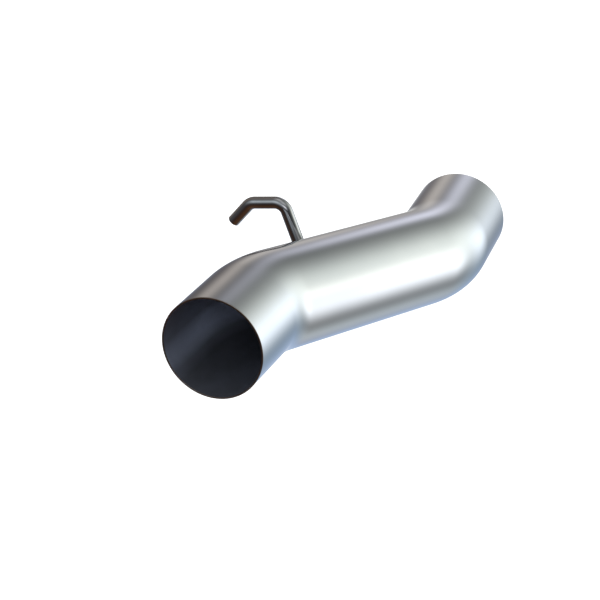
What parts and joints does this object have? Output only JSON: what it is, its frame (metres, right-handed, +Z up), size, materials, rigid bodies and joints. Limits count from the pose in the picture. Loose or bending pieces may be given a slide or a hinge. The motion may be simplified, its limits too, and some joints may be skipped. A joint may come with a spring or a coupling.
{
  "type": "exhaust tube with hanger",
  "caption": "Thin-wall steel exhaust tube, mandrel bent into an offset with plain open ends, and a bent solid hanger rod welded to its side.",
  "frame": {"origin": "centre of the inlet's cut end, on the tube's axis", "axes": "+X along the inlet axis into the tube and towards the outlet, +Z up as it hangs under a vehicle, +Y towards the side that the hanger rod is on"},
  "size_m": [0.4727, 0.2374, 0.1378],
  "materials": {
    "tube_steel": "satin polished stainless steel, dark and sooty inside",
    "rod_steel": "dark drawn round bar with a soft sheen",
    "weld_metal": "rippled weld bead with heat colours beside it"
  },
  "bodies": {
    "root": {"exhaust_tube": "tube_steel", "hanger_rod": "rod_steel", "weld_bead_upper": "weld_metal", "weld_bead_lower": "weld_metal"}
  },
  "joints": []
}
